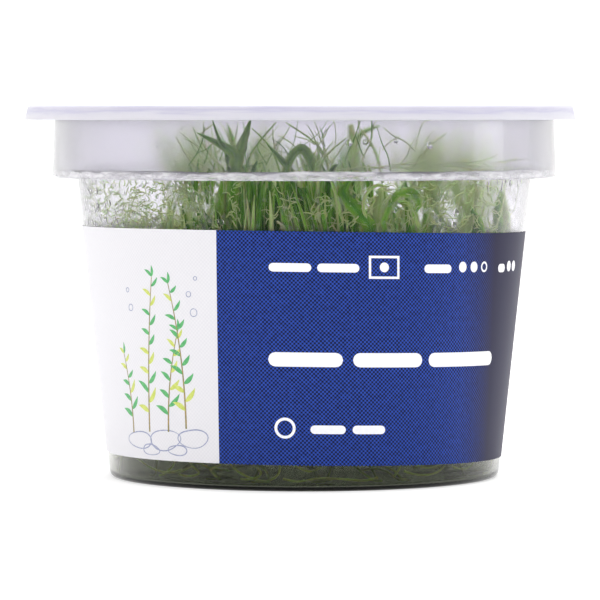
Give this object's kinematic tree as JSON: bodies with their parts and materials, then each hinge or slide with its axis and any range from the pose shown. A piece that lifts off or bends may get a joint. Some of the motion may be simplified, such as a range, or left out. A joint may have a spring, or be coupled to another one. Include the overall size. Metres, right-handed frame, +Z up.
{
  "type": "potted aquarium plant",
  "caption": "Aquarium stem plant with needle leaves growing in gel inside a sealed clear cup with a press-fit lid and a wrap-around label.",
  "frame": {"origin": "centre of the foot ring, on the surface that the cup stands on", "axes": "+Z up along the cup's axis; the middle of the label faces -Y"},
  "size_m": [0.0999, 0.0984, 0.0671],
  "materials": {
    "clear_plastic": "gloss",
    "frosted_plastic": "satin",
    "label": "satin",
    "gel": "gloss",
    "leaf": "satin"
  },
  "bodies": {
    "root": {"cup": "clear_plastic", "lid": "frosted_plastic", "label": "label", "gel": "gel", "shoot_01": "leaf", "shoot_02": "leaf", "shoot_03": "leaf", "shoot_04": "leaf", "shoot_05": "leaf", "shoot_06": "leaf", "shoot_07": "leaf", "shoot_08": "leaf", "shoot_09": "leaf", "shoot_10": "leaf", "shoot_11": "leaf", "shoot_12": "leaf", "shoot_13": "leaf", "shoot_14": "leaf", "shoot_15": "leaf", "shoot_16": "leaf", "shoot_17": "leaf", "shoot_18": "leaf", "shoot_19": "leaf"}
  },
  "joints": []
}
